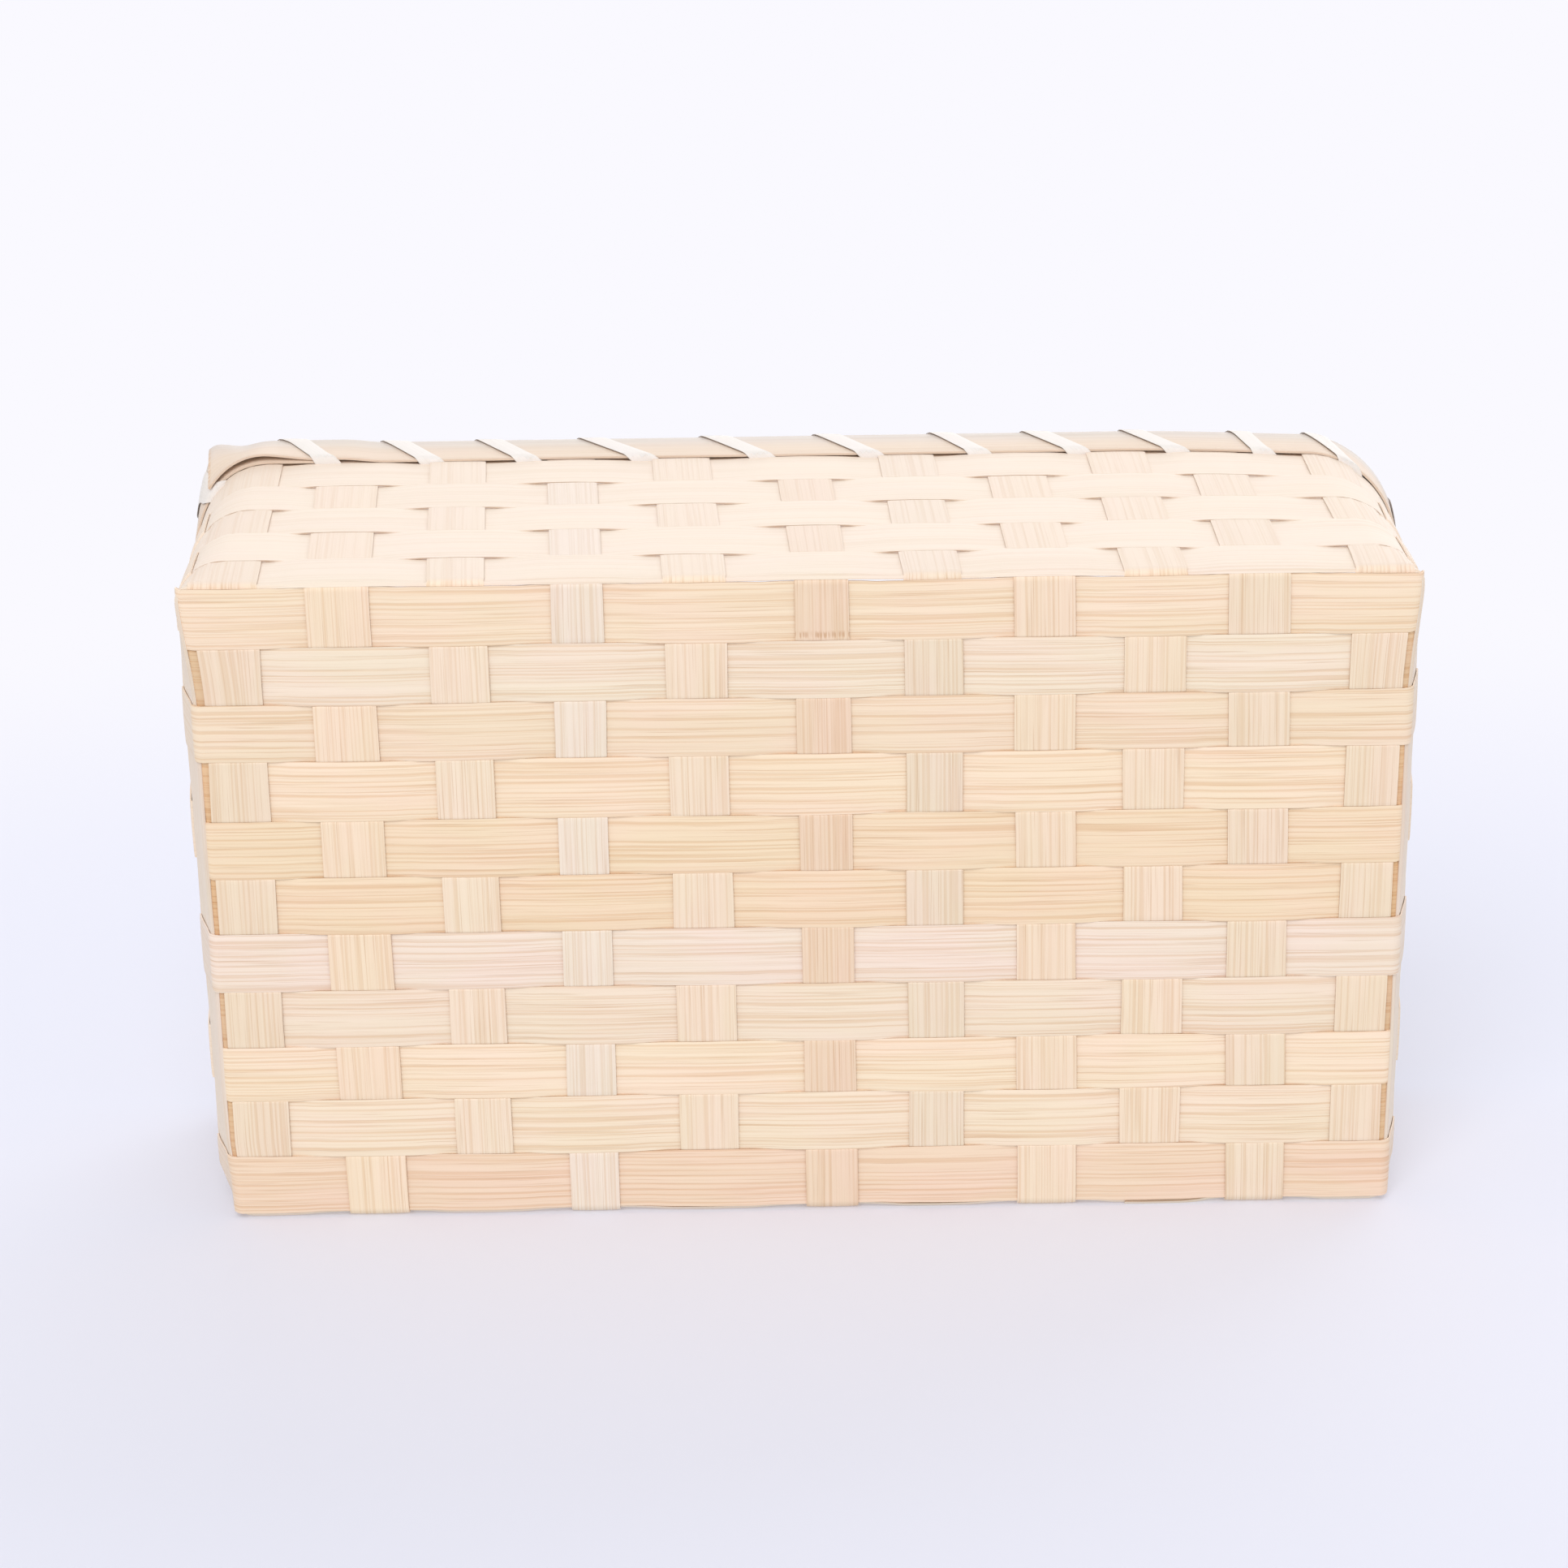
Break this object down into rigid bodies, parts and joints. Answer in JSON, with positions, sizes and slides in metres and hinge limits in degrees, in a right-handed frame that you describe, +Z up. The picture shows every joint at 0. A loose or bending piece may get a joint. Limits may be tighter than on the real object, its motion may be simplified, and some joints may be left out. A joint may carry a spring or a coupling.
{
  "type": "plaited bamboo storage basket",
  "caption": "Open rectangular basket plaited from flat bamboo splints with a lashed rim, for storing round pressed cakes of tea.",
  "frame": {"origin": "middle of the floor's underside, on the surface that the basket stands on", "axes": "+Z up, out of the basket's open mouth; X along the basket's length; Y across its width"},
  "size_m": [0.4025, 0.2405, 0.1083],
  "materials": {
    "long_splints": "split bamboo, matt, with fine straight grain along the splint",
    "cross_splints": "split bamboo, matt, with fine straight grain along the splint",
    "weavers": "split bamboo, matt, with fine straight grain along the splint",
    "rim_hoops": "thicker split bamboo, satin",
    "lashing": "narrow skin strip of bamboo, slightly glossy, nearly white"
  },
  "bodies": {
    "root": {"long_splint_01": "long_splints", "long_splint_02": "long_splints", "long_splint_03": "long_splints", "long_splint_04": "long_splints", "long_splint_05": "long_splints", "long_splint_06": "long_splints", "long_splint_07": "long_splints", "long_splint_08": "long_splints", "long_splint_09": "long_splints", "long_splint_10": "long_splints", "long_splint_11": "long_splints", "cross_splint_01": "cross_splints", "cross_splint_02": "cross_splints", "cross_splint_03": "cross_splints", "cross_splint_04": "cross_splints", "cross_splint_05": "cross_splints", "cross_splint_06": "cross_splints", "cross_splint_07": "cross_splints", "cross_splint_08": "cross_splints", "cross_splint_09": "cross_splints", "cross_splint_10": "cross_splints", "cross_splint_11": "cross_splints", "side_weaver_1": "weavers", "side_weaver_2": "weavers", "side_weaver_3": "weavers", "side_weaver_4": "weavers", "side_weaver_5": "weavers", "inner_rim_hoop": "rim_hoops", "outer_rim_hoop": "rim_hoops", "rim_lashing": "lashing"}
  },
  "joints": []
}
